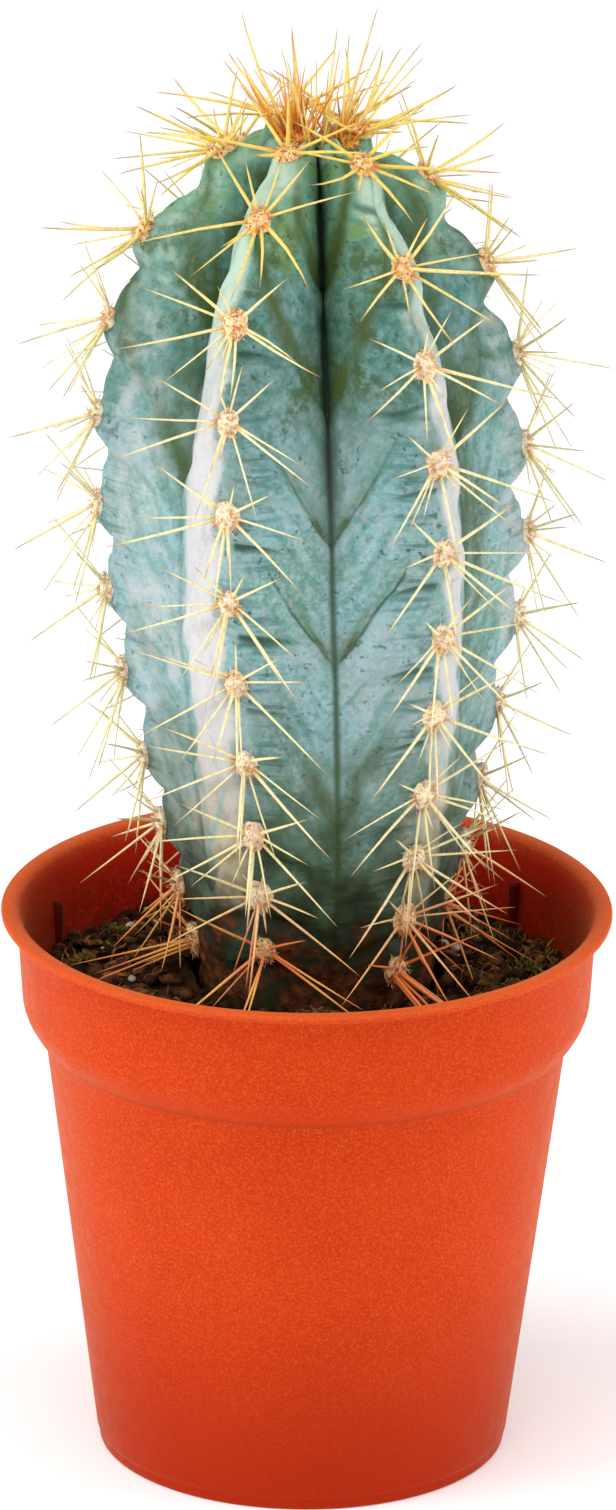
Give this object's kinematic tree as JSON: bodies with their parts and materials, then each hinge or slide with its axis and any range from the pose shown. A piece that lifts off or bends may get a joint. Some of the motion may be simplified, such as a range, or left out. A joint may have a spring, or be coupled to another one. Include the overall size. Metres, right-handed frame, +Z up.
{
  "type": "potted tall cactus",
  "caption": "Ribbed columnar cactus, blue-green, with clusters of straight spines along wavy ribs, standing in potting soil in a small flared terracotta-coloured plastic nursery pot.",
  "frame": {"origin": "middle of the pot's flat underside", "axes": "+Z up along the pot's axis, towards the crown of the cactus; -Y is the front that the reference view shows, +X is to its right"},
  "size_m": [0.085, 0.085, 0.2091],
  "materials": {
    "pot_plastic": "satin, fine moulded grain, terracotta orange",
    "potting_soil": "loose peat and bark mix, dark brown, with pale grains",
    "cactus_skin": "waxy blue-green skin with a pale bloom, green at the crown and in the grooves",
    "cactus_spines": "straight straw-yellow needles, golden brown at the root",
    "areole_wool": "short cream and tan wool"
  },
  "bodies": {
    "root": {"pot": "pot_plastic", "soil": "potting_soil", "cactus": "cactus_skin"}
  },
  "joints": []
}
